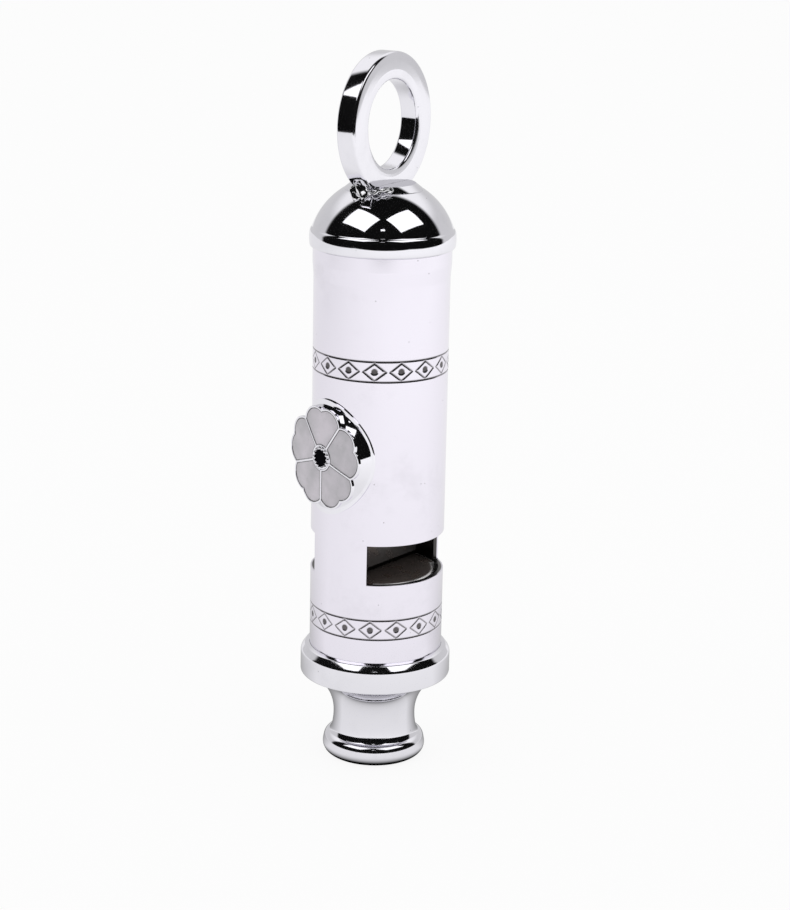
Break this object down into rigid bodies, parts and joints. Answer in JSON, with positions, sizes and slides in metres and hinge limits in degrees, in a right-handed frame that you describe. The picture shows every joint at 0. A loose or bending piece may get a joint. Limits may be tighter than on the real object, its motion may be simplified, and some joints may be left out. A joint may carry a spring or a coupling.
{
  "type": "round whistle",
  "caption": "Two-note round metal whistle: turned mouthpiece, windowed tube with a divided chamber, domed cap with a fixed ring and an enamelled flower badge.",
  "frame": {"origin": "centre of the mouth, on the flat end of the mouthpiece", "axes": "+Z along the whistle's axis up to the ring, +X through the middle of the window of the chamber with the higher note, -Y about the side of the badge"},
  "size_m": [0.017, 0.0178, 0.08],
  "materials": {
    "plated_turned": "polished",
    "plated_tube": "polished",
    "plated_ring": "polished",
    "plated_inner": "satin",
    "solder": "gloss",
    "badge_metal": "polished",
    "enamel_grey": "gloss",
    "enamel_dark": "gloss"
  },
  "bodies": {
    "root": {"mouthpiece": "plated_turned", "barrel": "plated_tube", "windway_block": "plated_inner", "divider_plate": "plated_inner", "short_chamber_stop": "plated_inner", "long_chamber_stop": "plated_inner", "end_cap": "plated_turned", "ring_collar": "plated_turned", "bow_ring": "plated_ring", "ring_solder": "solder", "badge_saddle": "badge_metal", "badge_flower": "badge_metal", "centre_enamel": "enamel_dark", "petal_enamel_1": "enamel_grey", "petal_enamel_2": "enamel_grey", "petal_enamel_3": "enamel_grey", "petal_enamel_4": "enamel_grey", "petal_enamel_5": "enamel_grey"}
  },
  "joints": []
}
